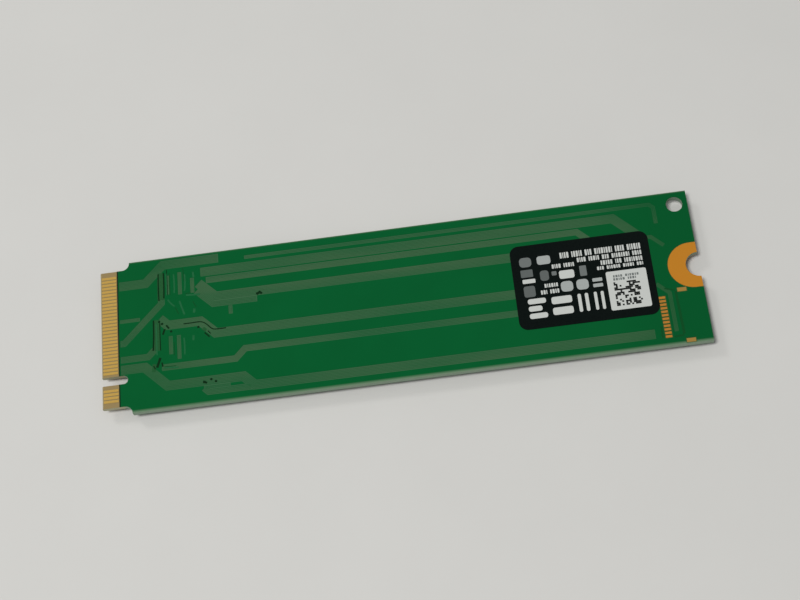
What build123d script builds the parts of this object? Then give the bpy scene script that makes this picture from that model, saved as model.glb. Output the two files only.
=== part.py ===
"""Bare solid-state drive card, 22 by 80 mm, lying label side up on its flash packages.

+X runs from the edge connector to the screw notch, +Z is up, and the origin is on the surface that the
drive lies on, below the middle of the board. Lengths are in millimetres.
"""
import os

from build123d import *

os.makedirs("parts", exist_ok=True)

# Board outline
board_length = 80.0
board_width = 22.0
board_thickness = 0.8
tongue_length = 4.0
shoulder_step = 1.075
shoulder_radius = 1.0
key_slot_from_side = 4.875
key_slot_width = 1.2
key_slot_depth = 3.5
tongue_bevel = 0.15
screw_notch_radius = 1.75
tooling_hole_radius = 1.1
tooling_hole_from_end = 1.75
tooling_hole_from_side = 1.85

# Coats on each face of the laminate
mask_thickness = 0.025
copper_thickness = 0.035
pad_thickness = 0.045
mask_clearance = 0.08

# Edge contacts
contact_pitch = 0.5
contact_width = 0.35
contact_length = 2.0
contact_setback = 0.05
contact_side_margin = 0.4
contact_key_margin = 0.2

# Screw ring and the bare footprint of a header
ring_radius = 3.25
ring_inset = 0.85
header_pad_count = 12
header_pitch = 0.5
header_pad_length = 0.85
header_pad_width = 0.34
header_from_end = 5.6
header_from_side = 4.07
anchor_length = 1.2
anchor_width = 0.55
anchor_side_gap = 0.42
anchor_ring_gap = 0.1

# Label
label_length = 18.4
label_width = 12.2
label_corner_radius = 1.2
label_thickness = 0.06
label_from_end = 6.05
label_side_shift = -0.25

# Traces, raised in the rear mask
trace_width = 0.1
trace_pitch = 0.2
trace_clearance = 0.12
trace_sag = 0.01
pair_count = 2
group_count = 4
bus_count = 6

# Ball-grid packages
component_gap = 0.6
controller_size = 10.0
controller_height = 0.75
controller_ball_height = 0.22
controller_ball_pitch = 0.8
controller_setback = 13.5
flash_length = 12.0
flash_width = 18.0
flash_height = 0.95
flash_ball_height = 0.25
flash_ball_pitch = 1.0
flash_gap = 1.0
ball_radius = 0.22
ball_margin = 0.55

# Chips with leads, inductors and crystal
power_chip_size = 4.0
power_chip_height = 0.7
power_chip_leads = 7
switch_size = 2.0
switch_height = 0.55
switch_leads = 4
sensor_size = 1.6
sensor_height = 0.5
sensor_leads = 3
lead_pitch = 0.5
lead_width = 0.26
lead_length = 0.4
lead_toe = 0.1
lead_thickness = 0.05
inductor_count = 3
inductor_length = 2.5
inductor_width = 2.0
inductor_height = 1.0
inductor_corner_radius = 0.3
terminal_length = 0.55
terminal_thickness = 0.1
crystal_length = 2.0
crystal_width = 1.6
crystal_base_height = 0.3
crystal_lid_height = 0.15
crystal_lid_margin = 0.15
crystal_pad_length = 0.6
crystal_pad_width = 0.5

# Chip capacitors, resistors and fuse
end_wrap = 0.02
bulk_length = 2.0
bulk_width = 1.25
bulk_height = 0.95
bulk_end = 0.45
reservoir_length = 1.6
reservoir_width = 0.8
reservoir_height = 0.8
reservoir_end = 0.35
reservoir_count = 4
reservoir_spacing = 2.3
fuse_height = 0.6
chip_length = 1.0
chip_width = 0.5
chip_height = 0.5
chip_end = 0.25
chip_spacing = 1.6
chip_count = 6
resistor_height = 0.35
coupling_length = 0.6
coupling_width = 0.3
coupling_height = 0.3
coupling_end = 0.15
coupling_count = 8
coupling_spacing = 1.0
flash_chip_gap = 0.3
flash_chip_spacing = 3.0
flash_column_count = 5

# Levels, from the surface that the drive lies on
coat_thickness = mask_thickness + copper_thickness
laminate_thickness = board_thickness - 2 * coat_thickness
front_z = flash_height + flash_ball_height
front_laminate_z = front_z + coat_thickness
rear_laminate_z = front_laminate_z + laminate_thickness
rear_z = front_z + board_thickness
front_laminate_plane = Plane.XY.offset(front_laminate_z)
rear_laminate_plane = Plane.XY.offset(rear_laminate_z)

# Places of the board and its bare copper, in plan
connector_x = -board_length / 2
screw_x = board_length / 2
upper_y = board_width / 2
lower_y = -board_width / 2
tongue_width = board_width - 2 * shoulder_step
shoulder_x = connector_x + tongue_length
key_slot_y = lower_y + key_slot_from_side
contact_x = connector_x + tongue_bevel + contact_setback + contact_length / 2
mask_x = contact_x + contact_length / 2 + mask_clearance
tooling_hole = (screw_x - tooling_hole_from_end, upper_y - tooling_hole_from_side)
ring_x = screw_x - ring_inset
header_x = screw_x - header_from_end
header_y = lower_y + header_from_side
header_length = (header_pad_count - 1) * header_pitch + header_pad_width
anchor_spread = header_length + 2 * anchor_side_gap + anchor_width
anchor_top = header_y + (anchor_spread + anchor_width) / 2
anchor_reach = max((ring_radius + anchor_ring_gap) ** 2 - anchor_top ** 2, 0) ** 0.5
anchor_x = ring_x - anchor_reach - anchor_length / 2
label_place = (screw_x - label_from_end - label_length / 2, label_side_shift)

# Places of the components, in plan
controller_x = connector_x + controller_setback
controller_edge = controller_size / 2 + component_gap
power_y = controller_edge + power_chip_size / 2
power_x = controller_x - controller_size / 2 + power_chip_size / 2
inductor_step = inductor_length + component_gap
inductor_x = power_x + power_chip_size / 2 + component_gap + inductor_length / 2
inductor_y = power_y + (power_chip_size - inductor_width) / 2
inductor_xs = [inductor_x + i * inductor_step for i in range(inductor_count)]
bulk_y = power_y - (power_chip_size - bulk_width) / 2
input_bulk_x = power_x - power_chip_size / 2 - component_gap - bulk_width / 2
fuse_x = input_bulk_x - bulk_width / 2 - component_gap - reservoir_width / 2
fuse_y = inductor_y
crystal_x = controller_x - controller_size / 2 + crystal_length / 2 + component_gap
crystal_y = -controller_edge - crystal_width / 2
switch_x = controller_x + component_gap + switch_size / 2
switch_y = -controller_edge - switch_size / 2
sensor_x = switch_x + switch_size / 2 + 2 * component_gap + sensor_size / 2
sensor_y = -controller_edge - sensor_size / 2
resistor_y = switch_y - switch_size / 2 - component_gap - chip_width / 2
chip_column_x = controller_x + controller_edge + chip_width / 2
reservoir_x = chip_column_x + chip_width / 2 + component_gap + reservoir_width / 2
flash_start = max(inductor_xs[-1] + inductor_length / 2, reservoir_x + reservoir_width / 2) + component_gap
flash_end = ring_x - ring_radius - component_gap
flash_step = flash_length + flash_gap
flash_count = int((flash_end - flash_start + flash_gap) / flash_step)
flash_xs = [flash_end - flash_length / 2 - i * flash_step for i in reversed(range(flash_count))]
flash_chip_y = flash_width / 2 + flash_chip_gap + chip_width / 2


def near(distance):
    """X of a place measured from the connector end."""
    return connector_x + distance


def far(distance):
    """X of a place measured from the screw end."""
    return screw_x - distance


def top(distance):
    """Y of a place measured from the upper long side."""
    return upper_y - distance


def bottom(distance):
    """Y of a place measured from the lower long side."""
    return lower_y + distance


# Trace bundles: the middle line of each, with 45 degree turns, and how many traces it holds
bundles = [
    ([(near(20.0), top(1.4)), (far(5.1), top(1.4)), (far(4.6), top(1.9)), (far(4.6), top(4.2))], pair_count),
    ([(near(13.9), top(2.8)), (far(10.2), top(2.8)), (far(7.2), top(5.8))], bus_count),
    ([(near(14.6), top(4.1)), (far(15.2), top(4.1)), (far(13.4), top(5.9))], group_count),
    ([(near(13.5), 6.5), (near(15.65), 4.35), (far(18.0), 4.35)], bus_count),
    ([(near(13.2), 5.4), (near(15.35), 3.25), (near(21.2), 3.25)], group_count),
    ([(near(8.05), 1.95), (near(9.05), 0.95), (near(13.5), 0.95), (near(15.5), -1.05), (far(20.0), -1.05)],
     bus_count),
    ([(near(8.2), -5.1), (near(18.0), -5.1), (near(19.3), -3.8), (far(19.0), -3.8)], group_count),
    ([(near(2.7), -4.75), (near(5.8), -4.75), (near(8.8), bottom(3.25)), (near(18.9), bottom(3.25)),
      (near(20.3), bottom(1.85)), (far(7.4), bottom(1.85))], bus_count),
    ([(near(13.7), bottom(2.35)), (near(17.0), bottom(2.35))], pair_count),
    ([(near(13.7), bottom(2.2)), (near(14.2), bottom(1.7)), (near(19.8), bottom(1.7))], group_count),
    ([(near(2.7), 7.55), (near(6.2), 7.55), (near(8.65), top(1.0)), (near(16.2), top(1.0))], bus_count),
    ([(near(2.7), -0.95), (near(3.1), -0.95), (near(8.3), 4.25), (near(8.3), 7.8)], group_count),
    ([(near(2.7), 2.3), (near(5.2), 2.3)], pair_count),
    ([(near(2.7), -3.3), (near(6.3), -3.3), (near(7.5), -2.1), (near(7.5), 1.1)], group_count),
    ([(near(9.3), 5.6), (near(9.3), 8.2)], pair_count),
    ([(near(10.9), 5.4), (near(10.9), 8.5)], pair_count),
    ([(near(12.6), 5.4), (near(12.6), 7.4)], pair_count),
    ([(near(9.4), -0.8), (near(9.4), -3.2)], pair_count),
    ([(near(10.5), -0.8), (near(10.5), -4.0)], pair_count),
    ([(near(17.65), 1.6), (near(17.65), 2.6)], pair_count),
    ([(far(6.3), 4.8), (far(5.6), 4.8), (far(4.2), 3.4)], pair_count),
    ([(far(5.9), -2.2), (far(4.5), -3.6), (far(4.5), -9.0)], pair_count),
]


def save(piece, name):
    """Label a finished piece and write it."""
    piece.part.label = name
    export_step(piece.part, f"parts/{name}.step")


def beside(route, shift, reach):
    """Points of a line that runs beside a route, mitred at its corners, its ends drawn out by reach."""
    points = [Vector(*point) for point in route]
    headings = [(end - start).normalized() for start, end in zip(points, points[1:])]
    sides = [heading.rotate(Axis.Z, 90) for heading in headings]
    line = [points[0] - headings[0] * reach + sides[0] * shift]
    for corner, before, after in zip(points[1:-1], sides, sides[1:]):
        line.append(corner + (before + after) * (shift / (1 + before.dot(after))))
    line.append(points[-1] + headings[-1] * reach + sides[-1] * shift)
    return line


def band(route, first_shift, last_shift, reach=0.0, mode=Mode.ADD):
    """Draw the band between two lines beside a route."""
    with BuildLine() as edge:
        Polyline(*beside(route, first_shift, reach), *reversed(beside(route, last_shift, reach)), close=True)
    make_face(edge.edges(), mode=mode)


def board_outline():
    """Draw the board's face: tongue, shoulders, key slot, screw notch and tooling hole."""
    radius = min(shoulder_radius, 0.95 * shoulder_step)
    with BuildLine() as edge:
        tongue_end = Line((connector_x, 0), (connector_x, tongue_width / 2))
        tongue_side = Line(tongue_end @ 1, (shoulder_x - radius, tongue_width / 2))
        shoulder = TangentArc(tongue_side @ 1, (shoulder_x, tongue_width / 2 + radius), tangent=(1, 0))
        Polyline(shoulder @ 1, (shoulder_x, upper_y), (screw_x, upper_y), (screw_x, 0))
        mirror(about=Plane.XZ)
    make_face(edge.edges())
    with Locations((connector_x, key_slot_y)):
        SlotOverall(2 * key_slot_depth, key_slot_width, mode=Mode.SUBTRACT)
    with Locations((screw_x, 0)):
        Circle(screw_notch_radius, mode=Mode.SUBTRACT)
    with Locations(tooling_hole):
        Circle(tooling_hole_radius, mode=Mode.SUBTRACT)


def mask_windows():
    """Cut away what a mask leaves bare: the contact strip and the screw ring."""
    with Locations((connector_x, 0)):
        Rectangle(mask_x - connector_x, board_width, align=(Align.MIN, Align.CENTER), mode=Mode.SUBTRACT)
    window_radius = ring_radius + mask_clearance
    with Locations((ring_x, 0)):
        Circle(window_radius, mode=Mode.SUBTRACT)
        Rectangle(ring_inset, 2 * window_radius, align=(Align.MIN, Align.CENTER), mode=Mode.SUBTRACT)


def header_windows():
    """Cut away the rear mask over the header's pads."""
    rim = 2 * mask_clearance
    with Locations((header_x, header_y)):
        Rectangle(header_pad_length + rim, header_length + rim, mode=Mode.SUBTRACT)
    with Locations((anchor_x, header_y)):
        with GridLocations(0, anchor_spread, 1, 2):
            Rectangle(anchor_length + rim, anchor_width + rim, mode=Mode.SUBTRACT)


def ring_land():
    """Draw the land round the screw notch, cut off at the end of the board."""
    with Locations((ring_x, 0)):
        Circle(ring_radius)
        Rectangle(ring_inset, 2 * ring_radius, align=(Align.MIN, Align.CENTER))
    with Locations((screw_x, 0)):
        Rectangle(2 * ring_radius, 2 * ring_radius, align=(Align.MIN, Align.CENTER), mode=Mode.SUBTRACT)
        Circle(screw_notch_radius, mode=Mode.SUBTRACT)


def contact_places(offset):
    """Places of one row of contacts, with a gap at the key slot.

    The offset is the row's shift in pitches: the rows of the two faces stand half a pitch apart.
    """
    limit = tongue_width / 2 - contact_side_margin - contact_width / 2
    key_limit = key_slot_width / 2 + contact_key_margin + contact_width / 2
    reach = int(limit / contact_pitch) + 1
    row = [(step + offset) * contact_pitch for step in range(-reach, reach + 1)]
    return [(contact_x, y) for y in row if abs(y) <= limit and abs(y - key_slot_y) > key_limit]


# Laminate
with BuildPart() as circuit_board:
    with BuildSketch(front_laminate_plane):
        board_outline()
    extrude(amount=laminate_thickness)
    chamfer(circuit_board.edges().filter_by(Axis.Y).group_by(Axis.X)[0], length=tongue_bevel)
save(circuit_board, "circuit_board")

# Rear mask, raised over the copper pour and, where it runs thinner, over each trace in the bundles' channels
relief_plane = Plane.XY.offset(rear_laminate_z + mask_thickness)
with BuildPart() as rear_solder_mask:
    with BuildSketch(rear_laminate_plane):
        board_outline()
        mask_windows()
        header_windows()
    extrude(amount=mask_thickness)
    with BuildSketch(relief_plane):
        board_outline()
        for route, lines in bundles:
            half = (lines - 1) / 2 * trace_pitch + trace_width / 2 + trace_clearance
            band(route, -half, half, reach=trace_clearance, mode=Mode.SUBTRACT)
        mask_windows()
        header_windows()
    extrude(amount=copper_thickness)
    with BuildSketch(relief_plane):
        for route, lines in bundles:
            for line in range(lines):
                middle = (line - (lines - 1) / 2) * trace_pitch
                band(route, middle - trace_width / 2, middle + trace_width / 2)
        mask_windows()
        header_windows()
    extrude(amount=copper_thickness - trace_sag)
save(rear_solder_mask, "rear_solder_mask")

# Front mask
with BuildPart() as front_solder_mask:
    with BuildSketch(front_laminate_plane):
        board_outline()
        mask_windows()
    extrude(amount=-coat_thickness)
save(front_solder_mask, "front_solder_mask")

# Gold contacts on both faces of the tongue
with BuildPart() as rear_edge_contacts:
    with BuildSketch(rear_laminate_plane):
        with Locations(*contact_places(0.0)):
            Rectangle(contact_length, contact_width)
    extrude(amount=pad_thickness)
save(rear_edge_contacts, "rear_edge_contacts")

with BuildPart() as front_edge_contacts:
    with BuildSketch(front_laminate_plane):
        with Locations(*contact_places(0.5)):
            Rectangle(contact_length, contact_width)
    extrude(amount=-pad_thickness)
save(front_edge_contacts, "front_edge_contacts")

# Screw rings: the bare land round the notch on each face
with BuildPart() as rear_screw_ring:
    with BuildSketch(rear_laminate_plane):
        ring_land()
    extrude(amount=pad_thickness)
save(rear_screw_ring, "rear_screw_ring")

with BuildPart() as front_screw_ring:
    with BuildSketch(front_laminate_plane):
        ring_land()
    extrude(amount=-pad_thickness)
save(front_screw_ring, "front_screw_ring")

# Bare footprint of a header that isn't fitted
with BuildPart() as header_pads:
    with BuildSketch(rear_laminate_plane):
        with Locations((header_x, header_y)):
            with GridLocations(0, header_pitch, 1, header_pad_count):
                Rectangle(header_pad_length, header_pad_width)
    extrude(amount=pad_thickness)
save(header_pads, "header_pads")

with BuildPart() as header_anchor_pads:
    with BuildSketch(rear_laminate_plane):
        with Locations((anchor_x, header_y)):
            with GridLocations(0, anchor_spread, 1, 2):
                Rectangle(anchor_length, anchor_width)
    extrude(amount=pad_thickness)
save(header_anchor_pads, "header_anchor_pads")

# Label
with BuildPart() as rear_label:
    with BuildSketch(Plane.XY.offset(rear_z)):
        with Locations(label_place):
            RectangleRounded(label_length, label_width, label_corner_radius)
    extrude(amount=label_thickness)
save(rear_label, "rear_label")


def below_board(depth):
    """Plane at a depth below the board's front face."""
    return Plane.XY.offset(front_z - depth)


def ball_grid_package(name, place, length, width, height, ball_height, ball_pitch):
    """A moulded package and, in a node of its own, the outer rows of solder balls along two of its sides."""
    with BuildPart() as package:
        with BuildSketch(below_board(ball_height)):
            with Locations(place):
                Rectangle(length, width)
        extrude(amount=-height)
    save(package, name)

    columns = int((length - 2 * ball_margin) / ball_pitch) + 1
    with BuildPart() as balls:
        with BuildSketch(below_board(0)):
            with Locations(place):
                with GridLocations(ball_pitch, width - 2 * ball_margin, columns, 2):
                    RegularPolygon(ball_radius, side_count=6)
        extrude(amount=-ball_height)
    save(balls, f"{name}_solder_balls")


def leaded_chip(name, place, size, height, leads, four_sided):
    """A square chip and, in a node of its own, the solder joints along two or all four of its sides."""
    with BuildPart() as chip:
        with BuildSketch(below_board(lead_thickness)):
            with Locations(place):
                Rectangle(size, size)
        extrude(amount=-(height - lead_thickness))
    save(chip, name)

    row_spread = size - lead_length + 2 * lead_toe
    with BuildPart() as joints:
        with BuildSketch(below_board(0)):
            with Locations(place):
                with GridLocations(lead_pitch, row_spread, leads, 2):
                    Rectangle(lead_width, lead_length)
                if four_sided:
                    with GridLocations(row_spread, lead_pitch, 2, leads):
                        Rectangle(lead_length, lead_width)
        extrude(amount=-lead_thickness)
    save(joints, f"{name}_solder_joints")


def end_plated_chips(bodies_name, ends_name, places, length, width, height, end):
    """Chip capacitors or resistors of one size: their bodies, and their plated ends in a second node.

    Each place is X, Y and the turn of the chip's length from X in degrees.
    """
    spots = [Location((x, y, 0), (0, 0, turn)) for x, y, turn in places]
    with BuildPart() as bodies:
        with BuildSketch(below_board(end_wrap)):
            with Locations(*spots):
                Rectangle(length - 2 * end, width - 2 * end_wrap)
        extrude(amount=-(height - 2 * end_wrap))
    save(bodies, bodies_name)

    with BuildPart() as ends:
        with BuildSketch(below_board(0)):
            with Locations(*spots):
                with GridLocations(length - end, 0, 2, 1):
                    Rectangle(end, width)
        extrude(amount=-height)
    save(ends, ends_name)


def spread(count, spacing):
    """Evenly spaced offsets about zero."""
    return [(i - (count - 1) / 2) * spacing for i in range(count)]


# Controller and flash memory
ball_grid_package(
    "controller", (controller_x, 0), controller_size, controller_size,
    controller_height, controller_ball_height, controller_ball_pitch,
)
for number, flash_x in enumerate(flash_xs, start=1):
    ball_grid_package(
        f"flash_memory_{number}", (flash_x, 0), flash_length, flash_width,
        flash_height, flash_ball_height, flash_ball_pitch,
    )

# Power management, input switch and temperature sensor
leaded_chip("power_chip", (power_x, power_y), power_chip_size, power_chip_height, power_chip_leads, True)
leaded_chip("load_switch", (switch_x, switch_y), switch_size, switch_height, switch_leads, False)
leaded_chip("temperature_sensor", (sensor_x, sensor_y), sensor_size, sensor_height, sensor_leads, False)

# Power inductors: moulded bodies on flat terminals
for number, place_x in enumerate(inductor_xs, start=1):
    with BuildPart() as inductor:
        with BuildSketch(below_board(terminal_thickness)):
            with Locations((place_x, inductor_y)):
                RectangleRounded(inductor_length, inductor_width, inductor_corner_radius)
        extrude(amount=-(inductor_height - terminal_thickness))
    save(inductor, f"power_inductor_{number}")

with BuildPart() as inductor_terminals:
    with BuildSketch(below_board(0)):
        with Locations(*[(x, inductor_y) for x in inductor_xs]):
            with GridLocations(inductor_length - terminal_length, 0, 2, 1):
                Rectangle(terminal_length, inductor_width - 2 * inductor_corner_radius)
    extrude(amount=-terminal_thickness)
save(inductor_terminals, "inductor_terminals")

# Crystal: ceramic base on four pads, with a metal lid
with BuildPart() as crystal_pads:
    with BuildSketch(below_board(0)):
        with Locations((crystal_x, crystal_y)):
            with GridLocations(crystal_length - crystal_pad_length, crystal_width - crystal_pad_width, 2, 2):
                Rectangle(crystal_pad_length, crystal_pad_width)
    extrude(amount=-lead_thickness)
save(crystal_pads, "crystal_pads")

with BuildPart() as crystal_base:
    with BuildSketch(below_board(lead_thickness)):
        with Locations((crystal_x, crystal_y)):
            Rectangle(crystal_length, crystal_width)
    extrude(amount=-crystal_base_height)
save(crystal_base, "crystal_base")

with BuildPart() as crystal_lid:
    with BuildSketch(below_board(lead_thickness + crystal_base_height)):
        with Locations((crystal_x, crystal_y)):
            Rectangle(crystal_length - 2 * crystal_lid_margin, crystal_width - 2 * crystal_lid_margin)
    extrude(amount=-crystal_lid_height)
save(crystal_lid, "crystal_lid")

# Input fuse, and the bulk capacitors beside it and under the inductors
end_plated_chips(
    "input_fuse", "input_fuse_ends", [(fuse_x, fuse_y, 90)],
    reservoir_length, reservoir_width, fuse_height, reservoir_end,
)
bulk_places = [(input_bulk_x, power_y, 90)] + [(x, bulk_y, 0) for x in inductor_xs]
end_plated_chips(
    "bulk_capacitors", "bulk_capacitor_ends", bulk_places,
    bulk_length, bulk_width, bulk_height, bulk_end,
)

# Reservoir capacitors between the controller and the flash
reservoir_places = [(reservoir_x, y, 90) for y in spread(reservoir_count, reservoir_spacing)]
end_plated_chips(
    "reservoir_capacitors", "reservoir_capacitor_ends", reservoir_places,
    reservoir_length, reservoir_width, reservoir_height, reservoir_end,
)

# Decoupling capacitors beside the controller, between the flash packages and along their ends
gap_xs = [x + flash_step / 2 for x in flash_xs[:-1]]
chip_places = [(chip_column_x, y, 90) for y in spread(chip_count, chip_spacing)]
chip_places += [(x, y, 90) for x in gap_xs for y in spread(flash_column_count, flash_chip_spacing)]
chip_places += [
    (x + shift, side * flash_chip_y, 0)
    for x in flash_xs for shift in spread(2, 2 * flash_chip_spacing) for side in (1, -1)
]
end_plated_chips(
    "decoupling_capacitors", "decoupling_capacitor_ends", chip_places,
    chip_length, chip_width, chip_height, chip_end,
)

# Coupling capacitors of the signal pairs, close to the tongue
coupling_places = [(fuse_x, y, 0) for y in spread(coupling_count, coupling_spacing)]
end_plated_chips(
    "coupling_capacitors", "coupling_capacitor_ends", coupling_places,
    coupling_length, coupling_width, coupling_height, coupling_end,
)

# Resistors in a row below the controller, and one at the end of each flash package
resistor_places = [(controller_x + shift, resistor_y, 0) for shift in spread(chip_count, chip_spacing)]
resistor_places += [(x, -flash_chip_y, 0) for x in flash_xs]
end_plated_chips(
    "chip_resistors", "chip_resistor_ends", resistor_places,
    chip_length, chip_width, resistor_height, chip_end,
)
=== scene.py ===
"""Looks of a bare solid-state drive card that lies label side up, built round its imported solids.

The frame is the solids' own: +X runs from the edge connector to the screw notch and +Z is up. Blender works
in metres. Sizes here are written in millimetres, as on a drawing, and MM turns them to metres.
"""
import logging
import math
import random
from dataclasses import dataclass, replace
from enum import Enum
from itertools import groupby
from typing import Iterable, NamedTuple, Sequence

import bmesh
import bpy
from mathutils import Matrix, Quaternion, Vector


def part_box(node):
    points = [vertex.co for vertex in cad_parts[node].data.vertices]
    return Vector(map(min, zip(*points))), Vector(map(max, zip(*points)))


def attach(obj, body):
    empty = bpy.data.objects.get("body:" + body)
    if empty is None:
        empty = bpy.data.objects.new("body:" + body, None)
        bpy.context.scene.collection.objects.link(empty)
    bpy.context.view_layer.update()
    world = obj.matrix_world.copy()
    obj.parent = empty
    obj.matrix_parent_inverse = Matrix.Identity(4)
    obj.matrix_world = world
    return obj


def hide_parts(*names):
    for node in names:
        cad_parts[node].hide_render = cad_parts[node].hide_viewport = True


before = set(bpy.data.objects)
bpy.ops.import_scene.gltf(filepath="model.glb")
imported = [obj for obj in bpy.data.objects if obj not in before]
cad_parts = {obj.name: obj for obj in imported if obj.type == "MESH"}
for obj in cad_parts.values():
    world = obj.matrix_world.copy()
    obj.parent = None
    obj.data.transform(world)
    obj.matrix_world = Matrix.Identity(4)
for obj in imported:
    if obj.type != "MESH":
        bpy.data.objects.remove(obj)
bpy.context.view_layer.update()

LOG = logging.getLogger("drive_card")
MM = 0.001
BODY = "root"
WELD_DISTANCE = 0.001 * MM
SHARP_ANGLE = math.radians(32)
FLAT_ANGLE = math.radians(1)
CORNER_FACETS = 4

# Levels of detail in a pattern's noise, from smooth patches to rough ones
SOFT = 2.0
CLOUDY = 3.0
GRAINY = 4.0

# How many radians the wave texture turns by in one unit of its scale
WAVE_TURN = 20.0

# The inputs of a node that mixes two colours
SHARE = 0
FIRST = 6
SECOND = 7

Place = tuple[float, float]
Colour = tuple[float, float, float, float]
Settings = dict[str | int, object]
Tree = bpy.types.NodeTree
Node = bpy.types.Node
Socket = bpy.types.NodeSocket
BMesh = bmesh.types.BMesh


def linear(hex_colour: str) -> Colour:
    """Turn an sRGB hex colour to the linear colour that a shader takes, by the standard's own curve.

    Args:
        hex_colour: A colour such as "#0B582D".

    Returns:
        Red, green, blue and an opacity of 1.
    """
    shares = [int(hex_colour[start:start + 2], 16) / 255 for start in (1, 3, 5)]
    return (*(s / 12.92 if s <= 0.04045 else ((s + 0.055) / 1.055) ** 2.4 for s in shares), 1.0)


def set_node(tree: Tree, node: Node, settings: Settings) -> None:
    """Set a node's properties and inputs, and link the inputs that other nodes feed.

    Args:
        tree: The material's or world's node tree.
        node: The node.
        settings: Values by the name of a property, or by the name or number of an input. A socket is linked
            to the input, and a node is linked by the first of its outputs in use.
    """
    for key, value in settings.items():
        if isinstance(value, Node):
            value = next(output for output in value.outputs if output.enabled)
        if isinstance(value, Socket):
            tree.links.new(value, node.inputs[key])
        elif isinstance(key, str) and hasattr(node, key):
            setattr(node, key, value)
        else:
            node.inputs[key].default_value = value


def add_node(tree: Tree, kind: str, settings: Settings) -> Node:
    """Add a node to a tree with its settings and links.

    Args:
        tree: The material's or world's node tree.
        kind: The node's Blender type, without the words that all shader nodes start with.
        settings: Its settings and links, as set_node takes them.

    Returns:
        The new node.
    """
    node = tree.nodes.new(f"ShaderNode{kind}")
    set_node(tree, node, settings)
    return node


class Surface(NamedTuple):
    """What a pattern is drawn with: a material's node tree, its shader and its Object coordinates."""

    tree: Tree
    shader: Node
    place: Socket


@dataclass(frozen=True)
class Finish:
    """A surface by its common name: its colour, gloss and metal content. Each kind adds a pattern."""

    name: str
    colour: str
    roughness: float
    metallic: float = 0.0
    specular: float = 0.5
    bump_strength: float = 0.6

    def material(self) -> bpy.types.Material:
        """Make the finish's material when it is first asked for.

        Returns:
            The material.
        """
        made = bpy.data.materials.get(self.name)
        if made:
            return made
        made = bpy.data.materials.new(self.name)
        made.use_nodes = True
        made.diffuse_color = linear(self.colour)
        tree = made.node_tree
        shader = tree.nodes["Principled BSDF"]
        set_node(tree, shader, {"Base Color": linear(self.colour), "Roughness": self.roughness,
                                "Metallic": self.metallic, "Specular IOR Level": self.specular})
        place = add_node(tree, "TexCoord", {}).outputs["Object"]
        self.pattern(Surface(tree, shader, place))
        return made

    def pattern(self, surface: Surface) -> None:
        """Draw what varies over the surface."""
        raise NotImplementedError


@dataclass(frozen=True)
class Speckled(Finish):
    """A moulded, fired or printed surface: grains of a second colour, each standing a little proud."""

    speck_colour: str = "#FFFFFF"
    speck_mm: float = 0.2
    speck_roughness: float = 0.6
    speck_window: Place = (0.25, 0.75)
    bump_mm: float = 0.004

    def pattern(self, surface: Surface) -> None:
        """Mix the two colours by a noise of the grain's size and raise the grains.

        Args:
            surface: The material's nodes.
        """
        tree, shader, place = surface
        noise = add_node(tree, "TexNoise", {"Vector": place, "Scale": 1 / (self.speck_mm * MM),
                                            "Detail": GRAINY, "Roughness": self.speck_roughness})
        least, most = self.speck_window
        share = add_node(tree, "MapRange", {"Value": noise, "From Min": least, "From Max": most})
        colour = add_node(tree, "Mix", {"data_type": "RGBA", SHARE: share, FIRST: linear(self.colour),
                                        SECOND: linear(self.speck_colour)})
        bump = add_node(tree, "Bump", {"Height": noise, "Strength": self.bump_strength,
                                       "Distance": self.bump_mm * MM})
        set_node(tree, shader, {"Base Color": colour, "Normal": bump})


@dataclass(frozen=True)
class Layered(Speckled):
    """A speckled surface with a second colour above or below a level, as a package on its substrate has."""

    layer_colour: str = "#000000"
    level_mm: float = 0.0
    above: bool = True

    def pattern(self, surface: Surface) -> None:
        """Speckle the surface and lay the second colour over the part of it that is past the level.

        Args:
            surface: The material's nodes.
        """
        super().pattern(surface)
        tree, shader, place = surface
        speckled = shader.inputs["Base Color"].links[0].from_socket
        axes = add_node(tree, "SeparateXYZ", {"Vector": place})
        past = add_node(tree, "Math", {"operation": "GREATER_THAN" if self.above else "LESS_THAN",
                                       0: axes.outputs["Z"], 1: self.level_mm * MM})
        colour = add_node(tree, "Mix", {"data_type": "RGBA", SHARE: past, FIRST: speckled,
                                        SECOND: linear(self.layer_colour)})
        set_node(tree, shader, {"Base Color": colour})


@dataclass(frozen=True)
class TableTop(Speckled):
    """A speckled surface that glows a little far from the drive, to stay pale where the light thins out."""

    glow_mm: Place = (120.0, 1100.0)
    glow_strength: float = 0.65

    def pattern(self, surface: Surface) -> None:
        """Speckle the surface and add the glow by the distance from the origin.

        Args:
            surface: The material's nodes.
        """
        super().pattern(surface)
        tree, shader, place = surface
        start, end = self.glow_mm
        distance = add_node(tree, "VectorMath", {"operation": "LENGTH", 0: place})
        glow = add_node(tree, "MapRange", {"Value": distance, "From Min": start * MM, "From Max": end * MM,
                                           "To Max": self.glow_strength})
        set_node(tree, shader, {"Emission Color": linear(self.colour), "Emission Strength": glow})


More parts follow.
